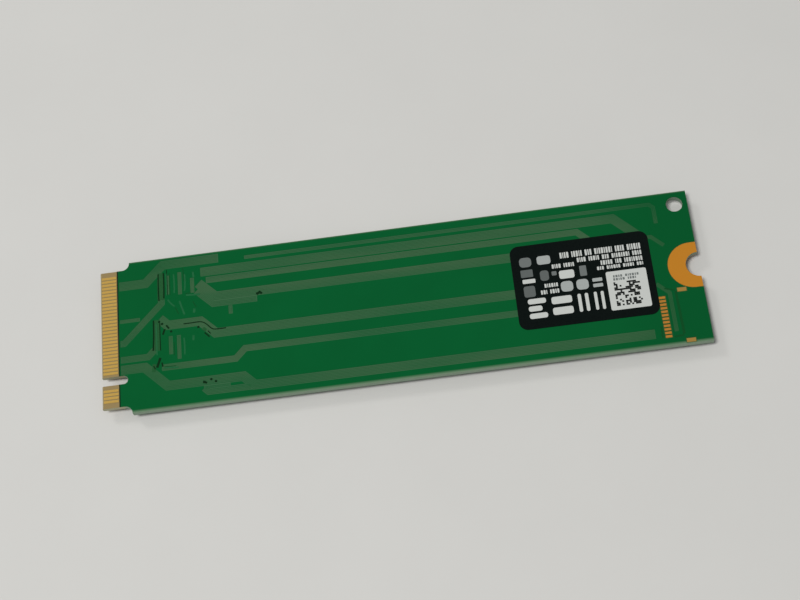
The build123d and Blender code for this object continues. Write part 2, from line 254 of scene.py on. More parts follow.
@dataclass(frozen=True)
class SolderMask(Finish):
    """Green solder mask, curtain-coated over etched copper.

    The coat is deep green over the copper pour. It runs thinner over a narrow trace, and in the gaps
    between traces the pale laminate shows through it, so a bundle of traces is greyer, unevenly along its
    length. The coat pools a little at the connector end and more near the screw notch, so all of this is
    fainter there. The copper stops short of the long sides, so the laminate pales the coat along them, more
    on the side that the copper lies further from. Along the contacts a strip of near-black painted shade
    stands for the shadow of the coat's step down to them.
    """

    bump_strength: float = 0.5
    light_colour: str = "#02572A"
    trace_colour: str = "#1F5732"
    gap_colour: str = "#325E3E"
    pale_colour: str = "#53674C"
    # Painted shade: a near-black strip on the coat along the contacts, where it steps down to them
    painted_shade_colour: str = "#0A2415"
    side_colour: str = "#85957F"
    side_mm: Place = (10.68, 11.33)
    side_shift_mm: float = 0.12
    pale_share: float = 0.34
    pale_window: Place = (0.35, 0.65)
    pale_mm: Place = (30.0, 4.0)
    pale_phase: float = 9.4
    pour_level_mm: float = 1.995
    trace_level_mm: float = 1.975
    # Where the strip of painted shade along the contacts ends
    painted_shade_mm: float = -37.55
    fade_mm: Place = (27.0, 35.0)
    fade_share: float = 0.55
    pool_mm: Place = (-32.0, -24.0)
    pool_share: float = 0.27
    mottle_mm: float = 6.0
    gloss_spread: Place = (-0.06, 0.1)
    peel_mm: float = 0.5
    peel_height_mm: float = 0.006

    def pattern(self, surface: Surface) -> None:
        """Colour the coat by its level and place, and give it the faint orange peel of a cured ink.

        Args:
            surface: The material's nodes.
        """
        tree, shader, place = surface
        axes = add_node(tree, "SeparateXYZ", {"Vector": place}).outputs
        mottle = add_node(tree, "TexNoise", {"Vector": place, "Scale": 1 / (self.mottle_mm * MM),
                                             "Detail": CLOUDY})
        thin, fade, pool = (
            add_node(tree, "MapRange", {"Value": axes["X"], "From Min": start * MM, "From Max": end * MM,
                                        "To Min": first, "To Max": last})
            for (start, end), first, last in ((self.fade_mm, 1.0, 0.0),
                                              (self.fade_mm, 0.0, self.fade_share),
                                              (self.pool_mm, self.pool_share, 0.0))
        )
        light = add_node(tree, "Math", {"operation": "MULTIPLY", 0: mottle, 1: thin})
        pour = add_node(tree, "Mix", {"data_type": "RGBA", SHARE: light, FIRST: linear(self.colour),
                                      SECOND: linear(self.light_colour)})
        deep = add_node(tree, "Math", {"operation": "ADD", 0: fade, 1: pool})
        # The last of these masks is the strip of painted shade along the contacts
        on_trace, on_pour, in_painted_shade = (
            add_node(tree, "Math", {"operation": operation, 0: axes[axis], 1: level * MM})
            for axis, operation, level in (("Z", "GREATER_THAN", self.trace_level_mm),
                                           ("Z", "GREATER_THAN", self.pour_level_mm),
                                           ("X", "LESS_THAN", self.painted_shade_mm))
        )
        along, across = self.pale_mm
        drawn = add_node(tree, "Mapping", {"Vector": place, "Location": (self.pale_phase, 0.0, 0.0),
                                           "Scale": (1 / (along * MM), 1 / (across * MM), 1.0)})
        cloud = add_node(tree, "TexNoise", {"Vector": drawn, "Scale": 1.0, "Detail": SOFT})
        least, most = self.pale_window
        paler = add_node(tree, "MapRange", {"Value": cloud, "From Min": least, "From Max": most,
                                            "To Max": self.pale_share})
        shifted = add_node(tree, "Math", {"operation": "SUBTRACT", 0: axes["Y"],
                                          1: self.side_shift_mm * MM})
        from_middle = add_node(tree, "Math", {"operation": "ABSOLUTE", 0: shifted})
        start, end = self.side_mm
        by_side = add_node(tree, "MapRange", {"Value": from_middle, "From Min": start * MM,
                                              "From Max": end * MM})
        # Each colour lies over the ones before it, from the gaps between traces up; the last is painted
        # shade
        tone: Colour | Node = linear(self.gap_colour)
        for share, over in ((on_trace, linear(self.trace_colour)), (paler, linear(self.pale_colour)),
                            (deep, pour), (on_pour, pour), (by_side, linear(self.side_colour)),
                            (in_painted_shade, linear(self.painted_shade_colour))):
            tone = add_node(tree, "Mix", {"data_type": "RGBA", SHARE: share, FIRST: tone, SECOND: over})
        smoother, rougher = self.gloss_spread
        gloss = add_node(tree, "MapRange", {"Value": mottle, "To Min": self.roughness + smoother,
                                            "To Max": self.roughness + rougher})
        peel = add_node(tree, "TexNoise", {"Vector": place, "Scale": 1 / (self.peel_mm * MM),
                                           "Detail": SOFT})
        bump = add_node(tree, "Bump", {"Height": peel, "Strength": self.bump_strength,
                                       "Distance": self.peel_height_mm * MM})
        set_node(tree, shader, {"Base Color": tone, "Roughness": gloss, "Normal": bump})


@dataclass(frozen=True)
class GlassEpoxy(Finish):
    """Glass-epoxy laminate, tan on the bare tongue and dark where mask ink has crept over it, round a land.

    A routed wall is greenish and dusty, or pale straw on the bare tongue, with a darker line at each ply.
    """

    wall_colour: str = "#93A591"
    bare_wall_colour: str = "#BDB697"
    ply_colour: str = "#6D8071"
    crept_colour: str = "#3F5A34"
    crept_mm: float = -37.0
    ply_mm: float = 0.17
    ply_bend: float = 1.2
    ply_bend_scale: float = 0.3
    fibre_mm: float = 0.12
    fibre_height_mm: float = 0.01

    def pattern(self, surface: Surface) -> None:
        """Draw the plies as level bands on the walls and break them up with fibres.

        Args:
            surface: The material's nodes.
        """
        tree, shader, place = surface
        ply = add_node(tree, "TexWave", {"bands_direction": "Z", "Vector": place, "Detail": SOFT,
                                         "Scale": math.tau / (WAVE_TURN * self.ply_mm * MM),
                                         "Distortion": self.ply_bend, "Detail Scale": self.ply_bend_scale})
        fibre = add_node(tree, "TexNoise", {"Vector": place, "Scale": 1 / (self.fibre_mm * MM),
                                            "Detail": CLOUDY})
        lined = add_node(tree, "Math", {"operation": "MULTIPLY", 0: ply.outputs["Fac"], 1: fibre})
        axes = add_node(tree, "SeparateXYZ", {"Vector": place}).outputs
        crept = add_node(tree, "Math", {"operation": "GREATER_THAN", 0: axes["X"], 1: self.crept_mm * MM})
        wall, flat = (
            add_node(tree, "Mix", {"data_type": "RGBA", SHARE: crept, FIRST: linear(bare),
                                   SECOND: linear(inked)})
            for bare, inked in ((self.bare_wall_colour, self.wall_colour), (self.colour, self.crept_colour))
        )
        plies = add_node(tree, "Mix", {"data_type": "RGBA", SHARE: lined, FIRST: wall,
                                       SECOND: linear(self.ply_colour)})
        normal = add_node(tree, "NewGeometry", {}).outputs["Normal"]
        facing = add_node(tree, "SeparateXYZ", {"Vector": normal}).outputs
        level = add_node(tree, "Math", {"operation": "ABSOLUTE", 0: facing["Z"]})
        colour = add_node(tree, "Mix", {"data_type": "RGBA", SHARE: level, FIRST: plies, SECOND: flat})
        bump = add_node(tree, "Bump", {"Height": fibre, "Strength": self.bump_strength,
                                       "Distance": self.fibre_height_mm * MM})
        set_node(tree, shader, {"Base Color": colour, "Normal": bump})


@dataclass(frozen=True)
class Plated(Finish):
    """Plated or reflowed metal: a soft sheen, cloudy tone, and scratches along X where it has been wiped.

    The scratches are drawn coarser than real ones, which would be too fine to show.
    """

    bump_strength: float = 0.4
    tone_colour: str = "#FFFFFF"
    cloud_mm: float = 1.5
    gloss_spread: Place = (-0.1, 0.12)
    scratch_mm: float = 0.06
    scratch_length_mm: float = 3.0
    scratch_depth_mm: float = 0.002

    def pattern(self, surface: Surface) -> None:
        """Cloud the colour and gloss, and score the surface lengthwise.

        Args:
            surface: The material's nodes.
        """
        tree, shader, place = surface
        cloud = add_node(tree, "TexNoise", {"Vector": place, "Scale": 1 / (self.cloud_mm * MM),
                                            "Detail": CLOUDY})
        colour = add_node(tree, "Mix", {"data_type": "RGBA", SHARE: cloud, FIRST: linear(self.colour),
                                        SECOND: linear(self.tone_colour)})
        smoother, rougher = self.gloss_spread
        gloss = add_node(tree, "MapRange", {"Value": cloud, "To Min": self.roughness + smoother,
                                            "To Max": self.roughness + rougher})
        across = 1 / (self.scratch_mm * MM)
        drawn = add_node(tree, "Mapping", {"Vector": place,
                                           "Scale": (1 / (self.scratch_length_mm * MM), across, across)})
        scratch = add_node(tree, "TexNoise", {"Vector": drawn, "Scale": 1.0, "Detail": SOFT})
        bump = add_node(tree, "Bump", {"Height": scratch, "Strength": self.bump_strength,
                                       "Distance": self.scratch_depth_mm * MM})
        set_node(tree, shader, {"Base Color": colour, "Roughness": gloss, "Normal": bump})


# Liquid photo-imageable mask, curtain-coated and cured: an even deep green with a low sheen.
REAR_MASK = SolderMask("green_solder_mask", "#004F25", roughness=0.42, specular=0.1)
# The same coat over an unbroken copper pour: one level, so one green.
FRONT_MASK = replace(REAR_MASK, name="green_solder_mask_on_pour", pour_level_mm=0.0)
# Mask sagging into a plugged hole or a wide gap, with no copper behind it: near black.
VIA_MASK = Speckled("mask_over_plugged_holes", "#08220E", roughness=0.5, specular=0.06,
                    speck_colour="#0E2F17")
# Mask over a gap that runs through the inner layers too: a shaded olive.
STRIP_MASK = replace(VIA_MASK, name="mask_over_inner_gaps", colour="#1E4C2B", speck_colour="#265831")
# Mask over a hairline gap in the pour: a thin line of darker green.
FAINT_MASK = replace(VIA_MASK, name="mask_over_fine_gaps", colour="#0C431F", speck_colour="#104A24")
# Mask over a single fine trace, where it runs thin: a paler green.
TRACE_MASK = replace(VIA_MASK, name="mask_over_fine_traces", colour="#1D5A35", speck_colour="#24603B")
# Woven glass in epoxy, routed to shape: tan, dull and a little fibrous.
LAMINATE = GlassEpoxy("glass_epoxy_laminate", "#8F7C55", roughness=0.75, specular=0.1)
# Hard gold electroplated on nickel: a pale satin yellow, wiped lengthwise by a socket.
HARD_GOLD = Plated("hard_gold_plating", "#E8BE62", roughness=0.4, metallic=1.0, tone_colour="#F2C96C")
# Immersion gold, thin enough to let copper warm it: an even dull orange.
BARE_LAND = Plated("immersion_gold_land", "#DA9640", roughness=0.5, metallic=1.0, tone_colour="#E09C47",
                   scratch_mm=0.15)
# The same plating on the two anchor pads, dulled by a film of flux: a paler tan.
ANCHOR_LAND = replace(BARE_LAND, name="dulled_anchor_land", colour="#C29B50", tone_colour="#C7A056")
# The same plating on the screw land, rubbed by a screw head: a shade brighter.
RING_LAND = replace(BARE_LAND, name="wiped_screw_land", colour="#E89C34", tone_colour="#EDA23A")
# Tin alloy, melted and set: bright grey with cloudy patches.
SOLDER = Plated("reflowed_tin_solder", "#B4B6B9", roughness=0.32, metallic=1.0, tone_colour="#C9CBCE",
                cloud_mm=0.3)
# Nickel-plated steel, stamped and welded: a warm grey satin.
NICKEL = Plated("nickel_plated_lid", "#A9A59C", roughness=0.3, metallic=1.0, tone_colour="#BDB9AF",
                cloud_mm=0.8)
# Matt black polyester film, die-cut: almost no sheen, faintly uneven where it was laid.
LABEL_FILM = Speckled("black_polyester_film", "#050A09", roughness=0.5, specular=0.06,
                      speck_colour="#0A110F", speck_mm=0.3, bump_mm=0.003)
# Silica-filled epoxy, transfer-moulded on a green substrate: charcoal, matt and finely grained.
MOULD_COMPOUND = Layered("epoxy_mould_compound", "#1E1F21", roughness=0.62, specular=0.35,
                         speck_colour="#34363A", speck_mm=0.07, layer_colour="#1F3B2B", level_mm=0.74)
# The same epoxy round a small lead frame: charcoal all through.
CHIP_COMPOUND = Speckled("moulded_chip_body", "#222325", roughness=0.6, specular=0.35,
                         speck_colour="#333539", speck_mm=0.07)
# Iron powder pressed with resin: dark grey with a sandy, sparkling grain.
INDUCTOR_BODY = Speckled("pressed_iron_powder", "#3A3B3E", roughness=0.55, specular=0.4,
                         speck_colour="#5B5D61", speck_mm=0.06, bump_mm=0.008)
# Barium titanate, fired: brown with a slight gloss.
CAPACITOR_CERAMIC = Speckled("barium_titanate_ceramic", "#8A6A49", roughness=0.5, speck_colour="#A07E5A",
                             speck_mm=0.1)
# Alumina, white below, with a black glass coat on its outer face.
RESISTOR_CERAMIC = Layered("alumina_with_glass_top", "#D9D6CC", roughness=0.4, speck_colour="#C8C5BA",
                           speck_mm=0.1, layer_colour="#151618", level_mm=0.93, above=False)
# Alumina, glazed: pale with a wet gloss.
FUSE_CERAMIC = Speckled("glazed_alumina", "#D4D9CF", roughness=0.3, speck_colour="#BFC8BC", speck_mm=0.12)
# Alumina fired with a dark pigment: brown-black and dull.
CRYSTAL_CERAMIC = Speckled("black_alumina", "#2B2724", roughness=0.5, speck_colour="#3A3531", speck_mm=0.08)
# Pale matt laminate, almost even in tone.
TABLE_TOP = TableTop("pale_laminate_table", "#CCCBC7", roughness=0.7, specular=0.2, speck_colour="#C9C8C4",
                     speck_mm=25.0, bump_mm=0.02)


class Ink(Enum):
    """The tones of the label's print, each with a darker one for where the film shows through."""

    WHITE = ("#C2C5C0", "#BABDB8")
    PALE = ("#A2A7A4", "#999E9B")
    GREY = ("#6D7270", "#666B69")
    DIM = ("#5F6462", "#585D5B")
    BLACK = ("#161918", "#111413")

    def finish(self) -> Finish:
        """Return the ink as a finish: a thin, matt, slightly uneven print."""
        full, thin = self.value
        return Speckled(f"label_ink_{self.name.lower()}", full, roughness=0.6, specular=0.1,
                        speck_colour=thin, speck_mm=0.15, bump_mm=0.002)


def solid_copy(node: str) -> BMesh:
    """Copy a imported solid's mesh, with its loose triangles merged into whole faces.

    Args:
        node: The solid's name.

    Returns:
        A new mesh in the frame's coordinates.
    """
    mesh = bmesh.new()
    mesh.from_mesh(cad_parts[node].data)
    bmesh.ops.remove_doubles(mesh, verts=mesh.verts, dist=WELD_DISTANCE)
    bmesh.ops.dissolve_limit(mesh, angle_limit=FLAT_ANGLE, verts=mesh.verts, edges=mesh.edges)
    return mesh


def solid_boxes(node: str) -> list[tuple[Vector, Vector]]:
    """Find the box round each separate solid of a node.

    Args:
        node: The node's name.

    Returns:
        The lowest and highest corner of each box.
    """
    mesh = solid_copy(node)
    boxes = []
    left = set(mesh.verts)
    while left:
        found = [left.pop()]
        for vert in found:
            joined = {edge.other_vert(vert) for edge in vert.link_edges} & left
            left -= joined
            found.extend(joined)
        low = Vector([min(vert.co[axis] for vert in found) for axis in range(3)])
        high = Vector([max(vert.co[axis] for vert in found) for axis in range(3)])
        boxes.append((low, high))
    mesh.free()
    return sorted(boxes, key=lambda box: tuple(box[0]))


def round_edges(mesh: BMesh, width: float, segments: int = 2) -> None:
    """Round the sharp edges of a mesh.

    Args:
        mesh: The mesh.
        width: The width of the rounding, in millimetres.
        segments: The number of facets across it.
    """
    sharp = [edge for edge in mesh.edges if edge.is_manifold and edge.calc_face_angle() > SHARP_ANGLE]
    rounded = bmesh.ops.bevel(mesh, geom=sharp, offset=width * MM, offset_type="OFFSET", segments=segments,
                              profile=0.5, affect="EDGES", clamp_overlap=True, material=-1)
    for face in rounded["faces"]:
        face.smooth = True


def add_plate(mesh: BMesh, low: Vector, high: Vector, radius: float) -> None:
    """Add a thin plate with rounded corners to a mesh.

    Args:
        mesh: The mesh that takes the plate.
        low: The plate's lowest corner, in metres.
        high: The plate's highest corner, in metres.
        radius: The corners' radius, in millimetres.
    """
    size = high - low
    centre = (low + high) / 2
    plate = bmesh.new()
    base = Matrix.Translation((centre.x, centre.y, low.z)) @ Matrix.Diagonal((size.x, size.y, 1.0, 1.0))
    bmesh.ops.create_grid(plate, x_segments=1, y_segments=1, size=0.5, matrix=base)
    bmesh.ops.bevel(plate, geom=plate.verts[:], offset=radius * MM, offset_type="OFFSET",
                    segments=CORNER_FACETS, profile=0.5, affect="VERTICES", clamp_overlap=True, material=-1)
    raised = bmesh.ops.extrude_face_region(plate, geom=plate.faces[:], use_keep_orig=True)["geom"]
    upper = [item for item in raised if isinstance(item, bmesh.types.BMVert)]
    bmesh.ops.translate(plate, vec=(0.0, 0.0, size.z), verts=upper)
    add_copy(mesh, plate, Matrix.Identity(4))
    plate.free()


def add_copy(mesh: BMesh, pattern: BMesh, matrix: Matrix) -> None:
    """Add a placed copy of one mesh to another.

    Args:
        mesh: The mesh that takes the copy.
        pattern: The mesh to copy.
        matrix: The copy's place and turn.
    """
    carrier = bpy.data.meshes.new("carrier")
    pattern.to_mesh(carrier)
    carrier.transform(matrix)
    mesh.from_mesh(carrier)
    bpy.data.meshes.remove(carrier)


def turned(profile: Sequence[Place], steps: int) -> BMesh:
    """Turn a profile about the Z axis and close its ends.

    Args:
        profile: The profile's points as radius and height, in millimetres, from the top down.
        steps: The number of facets round the axis.

    Returns:
        A closed mesh about the origin.
    """
    mesh = bmesh.new()
    points = [mesh.verts.new((radius * MM, 0.0, height * MM)) for radius, height in profile]
    edges = [mesh.edges.new(pair) for pair in zip(points, points[1:])]
    bmesh.ops.spin(mesh, geom=points + edges, cent=(0, 0, 0), axis=(0, 0, 1), angle=math.tau, steps=steps,
                   use_merge=True, use_duplicate=False)
    bmesh.ops.remove_doubles(mesh, verts=mesh.verts, dist=WELD_DISTANCE)
    for face in mesh.faces:
        face.smooth = True
    bmesh.ops.holes_fill(mesh, edges=mesh.edges, sides=0)
    return mesh


def make_piece(name: str, mesh: BMesh, finish: Finish,
               replaced: Iterable[str] = ()) -> None:
    """Turn a mesh into a finished piece of the drive.

    Args:
        name: The piece's name.
        mesh: Its mesh, in the frame's coordinates. It is used up.
        finish: Its finish.
        replaced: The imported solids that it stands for.
    """
    bmesh.ops.recalc_face_normals(mesh, faces=mesh.faces)
    for edge in mesh.edges:
        edge.smooth = edge.is_manifold and edge.calc_face_angle() < SHARP_ANGLE
    data = bpy.data.meshes.new(name)
    mesh.to_mesh(data)
    mesh.free()
    data.materials.append(finish.material())
    piece = bpy.data.objects.new(name, data)
    bpy.context.scene.collection.objects.link(piece)
    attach(piece, BODY)
    if replaced:
        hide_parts(*replaced)
    LOG.info("%s: %d faces, %s", name, len(data.polygons), finish.name)


def soften(node: str, name: str, finish: Finish, width: float, segments: int = 2) -> None:
    """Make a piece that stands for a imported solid, the same but for its rounded edges.

    Args:
        node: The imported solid.
        name: The new piece's name.
        finish: Its finish.
        width: The width of the rounding, in millimetres.
        segments: The number of facets across the rounding.
    """
    mesh = solid_copy(node)
    round_edges(mesh, width, segments)
    make_piece(name, mesh, finish, [node])


def dress(node: str, finish: Finish) -> None:
    """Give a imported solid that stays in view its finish.

    Args:
        node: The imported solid.
        finish: The finish.
    """
    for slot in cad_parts[node].material_slots:
        slot.material = finish.material()
    LOG.info("%s: packed solid, %s", node, finish.name)


class Line(NamedTuple):
    """A drawn line: its width, and its points from the connector end and the card's middle line."""

    width: float
    points: tuple[Place, ...]


@dataclass
class Board:
    """The laminate, its two masks, and what shows in the rear one: plugged holes, gaps, traces and dams."""

    hole_radius: float = 0.17
    hole_height: float = 0.012
    hole_steps: int = 14
    # A plugged hole's rim and dimple, as shares of its radius and height
    hole_profile: tuple[Place, ...] = ((0.45, 0.4), (0.7, 1.0), (1.0, 0.0))
    line_facets: int = 2
    line_order: int = 3
    gap_height: float = 0.012
    strip_height: float = 0.008
    dam_drop: float = 0.003
    dam_gap: float = 0.02
    dam_radius: float = 0.02

    holes: tuple[Place, ...] = (
        (7.9, 1.6), (8.3, 1.25), (9.5, -0.02), (13.2, 0.12), (13.65, -7.9), (14.6, -7.6), (15.2, -7.95),
        (21.4, 3.9), (21.7, 4.15), (21.9, 3.95),
    )
    gaps: tuple[Line, ...] = (
        Line(0.15, ((11.2, 0.85), (12.4, 0.85), (13.6, 0.9), (14.3, 0.45), (14.9, -0.3), (15.4, -0.55),
                    (16.9, -0.5))),
        Line(0.2, ((14.0, -0.8), (14.3, -1.1), (14.65, -1.5))),
        Line(0.14, ((14.45, -0.6), (14.8, -1.05))),
        Line(0.2, ((8.0, 8.7), (7.95, 6.6), (8.0, 4.7))),
        Line(0.22, ((8.7, 8.8), (8.75, 6.6), (8.65, 5.0))),
        Line(0.1, ((9.15, 9.2), (9.2, 7.0), (9.15, 5.4))),
        Line(0.22, ((7.15, 1.9), (7.15, -0.4), (7.0, -2.5))),
        Line(0.14, ((8.0, 1.4), (7.95, -0.4), (8.0, -2.6))),
        Line(0.34, ((7.92, -3.65), (7.72, -4.25), (7.45, -5.0))),
        Line(0.2, ((8.12, -4.35), (8.22, -4.95))),
        Line(0.2, ((7.2, -5.2), (7.0, -4.7))),
        Line(0.26, ((8.66, 0.45), (8.5, 0.1), (8.38, -0.35))),
        Line(0.24, ((8.86, 0.98), (9.0, 0.75), (9.22, 0.45))),
        Line(0.3, ((13.5, -7.75), (14.0, -8.05))),
        Line(0.3, ((21.2, 3.95), (21.9, 4.05))),
    )
    strips: tuple[Line, ...] = (
        Line(0.8, ((8.35, 8.8), (8.35, 4.8))),
        Line(0.7, ((7.6, 1.9), (7.55, -2.6))),
        Line(0.45, ((13.8, -0.12), (14.2, -0.5))),
        Line(0.5, ((7.1, -4.45), (7.0, -5.55))),
    )
    faint_gaps: tuple[Line, ...] = (
        Line(0.34, ((76.3, -3.5), (76.4, -9.6))),
        Line(0.24, ((76.3, -9.75), (75.1, -9.85))),
        Line(0.24, ((73.65, -8.2), (73.6, -9.8))),
        Line(0.2, ((74.9, -2.9), (76.2, -3.3))),
        Line(0.12, ((11.4, 9.2), (11.5, 7.2))),
        Line(0.12, ((12.6, 4.0), (13.0, 3.1))),
        Line(0.12, ((10.2, 3.4), (10.6, 2.4))),
        Line(0.12, ((9.55, 8.7), (9.5, 5.4))),
        Line(0.1, ((11.6, 5.3), (12.4, 5.3))),
        Line(0.12, ((9.85, -1.6), (9.8, -3.5))),
        Line(0.1, ((8.4, -5.0), (10.0, -5.05))),
    )
    fine_traces: tuple[Line, ...] = (
        Line(0.2, ((9.1, 8.6), (9.1, 5.4))),
        Line(0.2, ((7.5, 1.4), (7.5, -3.2))),
        Line(0.24, ((11.7, 5.05), (12.6, 4.95), (13.6, 4.95))),
        Line(0.24, ((10.8, 4.3), (11.0, 3.4), (11.4, 2.2))),
        Line(0.32, ((12.75, 2.9), (12.7, 2.3))),
        Line(0.26, ((12.75, 8.4), (12.85, 7.6))),
        Line(0.2, ((9.2, 4.7), (9.5, 4.1), (10.1, 3.6))),
        Line(0.2, ((11.6, 8.2), (11.7, 6.6), (11.5, 5.7))),
        Line(0.2, ((10.1, 8.4), (10.2, 6.9), (10.1, 5.6))),
        Line(0.2, ((8.4, -5.15), (9.3, -5.2), (10.3, -5.3))),
        Line(0.26, ((12.5, -1.0), (12.45, -1.7))),
        Line(0.2, ((11.2, -1.2), (11.3, -2.4), (11.2, -3.6))),
    )

    def build(self) -> None:
        """Make the plugged holes, the gaps, the fine traces and the dams."""
        corner = Vector((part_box("circuit_board")[0].x, 0.0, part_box("rear_solder_mask")[1].z))
        profile = [(self.hole_radius * across, self.hole_height * up) for across, up in self.hole_profile]
        hole = turned(profile, self.hole_steps)
        mesh = bmesh.new()
        for x, y in self.holes:
            add_copy(mesh, hole, Matrix.Translation(corner + Vector((x, y, 0.0)) * MM))
        hole.free()
        make_piece("plugged_holes", mesh, VIA_MASK)
        for name, lines, height, finish in (
            ("etched_gaps", self.gaps, self.gap_height, VIA_MASK),
            ("inner_gap_strips", self.strips, self.strip_height, STRIP_MASK),
            ("fine_gaps", self.faint_gaps, self.gap_height, FAINT_MASK),
            ("fine_traces", self.fine_traces, self.gap_height, TRACE_MASK),
        ):
            mesh = bmesh.new()
            for line in lines:
                self.add_line(mesh, line, height, corner)
            bmesh.ops.remove_doubles(mesh, verts=mesh.verts, dist=WELD_DISTANCE)
            make_piece(name, mesh, finish)
        self.build_dams()

    def build_dams(self) -> None:
        """Make the bars of mask that part the header's pads."""
        pads = sorted(solid_boxes("header_pads"), key=lambda box: box[0].y)
        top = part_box("rear_solder_mask")[1].z - self.dam_drop * MM
        gap = self.dam_gap * MM
        mesh = bmesh.new()
        for (low, high), (next_low, _) in zip(pads, pads[1:]):
            add_plate(mesh, Vector((low.x, high.y + gap, low.z)), Vector((high.x, next_low.y - gap, top)),
                      self.dam_radius)
        make_piece("header_mask_dams", mesh, REAR_MASK)

    def add_line(self, mesh: BMesh, line: Line, height: float, corner: Vector) -> None:
        """Add one smooth line, flattened until it lies in the mask's surface.

        Args:
            mesh: The mesh that takes it.
            line: The line's width and points.
            height: The line's thickness, half of it above the mask, in millimetres.
            corner: The place that the points are measured from.
        """
        curve = bpy.data.curves.new("gap", "CURVE")
        curve.dimensions = "3D"
        curve.bevel_depth = line.width * MM / 2
        curve.bevel_resolution = self.line_facets
        curve.use_fill_caps = True
        spline = curve.splines.new("NURBS")
        spline.points.add(len(line.points) - 1)
        for point, (x, y) in zip(spline.points, line.points):
            point.co = (x * MM, y * MM, 0.0, 1.0)
        spline.order_u = self.line_order
        spline.use_endpoint_u = True
        carrier = bpy.data.objects.new("gap", curve)
        data = bpy.data.meshes.new_from_object(carrier)
        data.transform(Matrix.Translation(corner) @ Matrix.Diagonal((1.0, 1.0, height / line.width, 1.0)))
        mesh.from_mesh(data)
        bpy.data.objects.remove(carrier)
        bpy.data.curves.remove(curve)
        bpy.data.meshes.remove(data)

    def dress(self) -> None:
        """Finish the laminate and the masks."""
        dress("circuit_board", LAMINATE)
        dress("rear_solder_mask", REAR_MASK)
        dress("front_solder_mask", FRONT_MASK)


@dataclass
class BareCopper:
    """The plated copper that the masks leave bare: edge contacts, screw lands and the header's pads."""

    contact_edge: float = 0.012
    ring_edge: float = 0.015
    pad_edge: float = 0.018

    def build(self) -> None:
        """Make the contacts, rings and pads with the soft edges that etching and plating leave."""
        soften("rear_edge_contacts", "rear_contact_row", HARD_GOLD, self.contact_edge)
        soften("front_edge_contacts", "front_contact_row", HARD_GOLD, self.contact_edge)
        soften("rear_screw_ring", "rear_ring_land", RING_LAND, self.ring_edge)
        soften("front_screw_ring", "front_ring_land", RING_LAND, self.ring_edge)
        soften("header_pads", "header_pad_row", BARE_LAND, self.pad_edge)
        soften("header_anchor_pads", "header_anchor_lands", ANCHOR_LAND, self.pad_edge)


class Mark(NamedTuple):
    """A printed shape: its sides, from the film's lower corner at the connector, and its corner radius."""

    left: float
    lower: float
    right: float
    upper: float
    radius: float = 0.12


class TextLine(NamedTuple):
    """A line of small print: its middle, from the film's lower side, its height, its start and its end."""

    middle: float
    height: float
    start: float
    end: float


